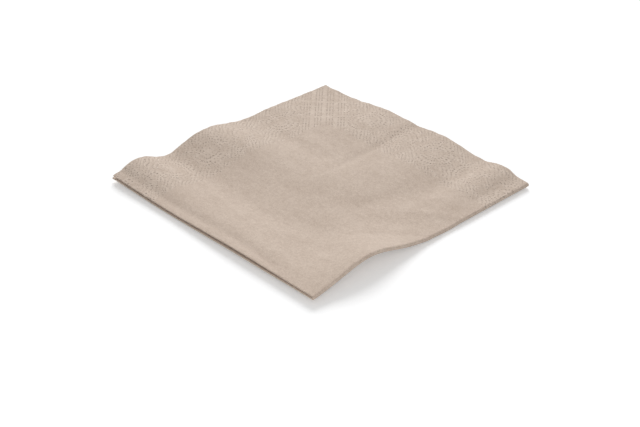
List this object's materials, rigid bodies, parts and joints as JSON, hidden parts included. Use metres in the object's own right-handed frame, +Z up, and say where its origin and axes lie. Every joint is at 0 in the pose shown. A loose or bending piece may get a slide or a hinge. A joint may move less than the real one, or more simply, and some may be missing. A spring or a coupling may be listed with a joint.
{
  "type": "paper napkin",
  "caption": "Square unbleached tissue napkin folded in four, lying flat with two closed folds, two open edges and soft waves in the sheet.",
  "frame": {"origin": "on the table, under the middle of the folded napkin", "axes": "+Z up out of the table, +X square to the second fold and towards it, +Y along the second fold and away from the closed corner, which is at +X, -Y"},
  "size_m": [0.1668, 0.165, 0.0124],
  "materials": {
    "tissue": "soft matt unbleached tissue with an embossed border"
  },
  "bodies": {
    "root": {"napkin": "tissue"}
  },
  "joints": []
}
